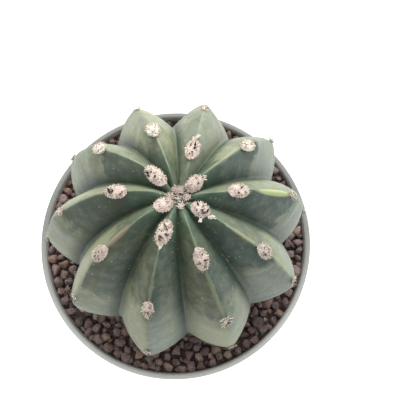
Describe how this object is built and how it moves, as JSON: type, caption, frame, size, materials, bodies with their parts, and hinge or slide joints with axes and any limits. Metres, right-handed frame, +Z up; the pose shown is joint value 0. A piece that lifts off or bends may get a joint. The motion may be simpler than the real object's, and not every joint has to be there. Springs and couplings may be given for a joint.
{
  "type": "potted domino cactus",
  "caption": "A squat ribbed globe cactus with woolly, almost spineless areoles, in a pale grey plastic nursery pot topped with red-brown lava grit.",
  "frame": {"origin": "the centre of the pot's foot ring, on the surface that it stands on", "axes": "+Z is up out of the pot, +X to the plant's right and -Y to its front as seen in the picture"},
  "size_m": [0.105, 0.105, 0.1534],
  "materials": {
    "pale_grey_plastic": "satin",
    "dark_potting_mix": "matte",
    "red_brown_lava": "matte",
    "grey_green_skin": "matte"
  },
  "bodies": {
    "root": {"pot": "pale_grey_plastic", "potting_mix": "dark_potting_mix", "lava_grit": "red_brown_lava", "cactus": "grey_green_skin"}
  },
  "joints": []
}
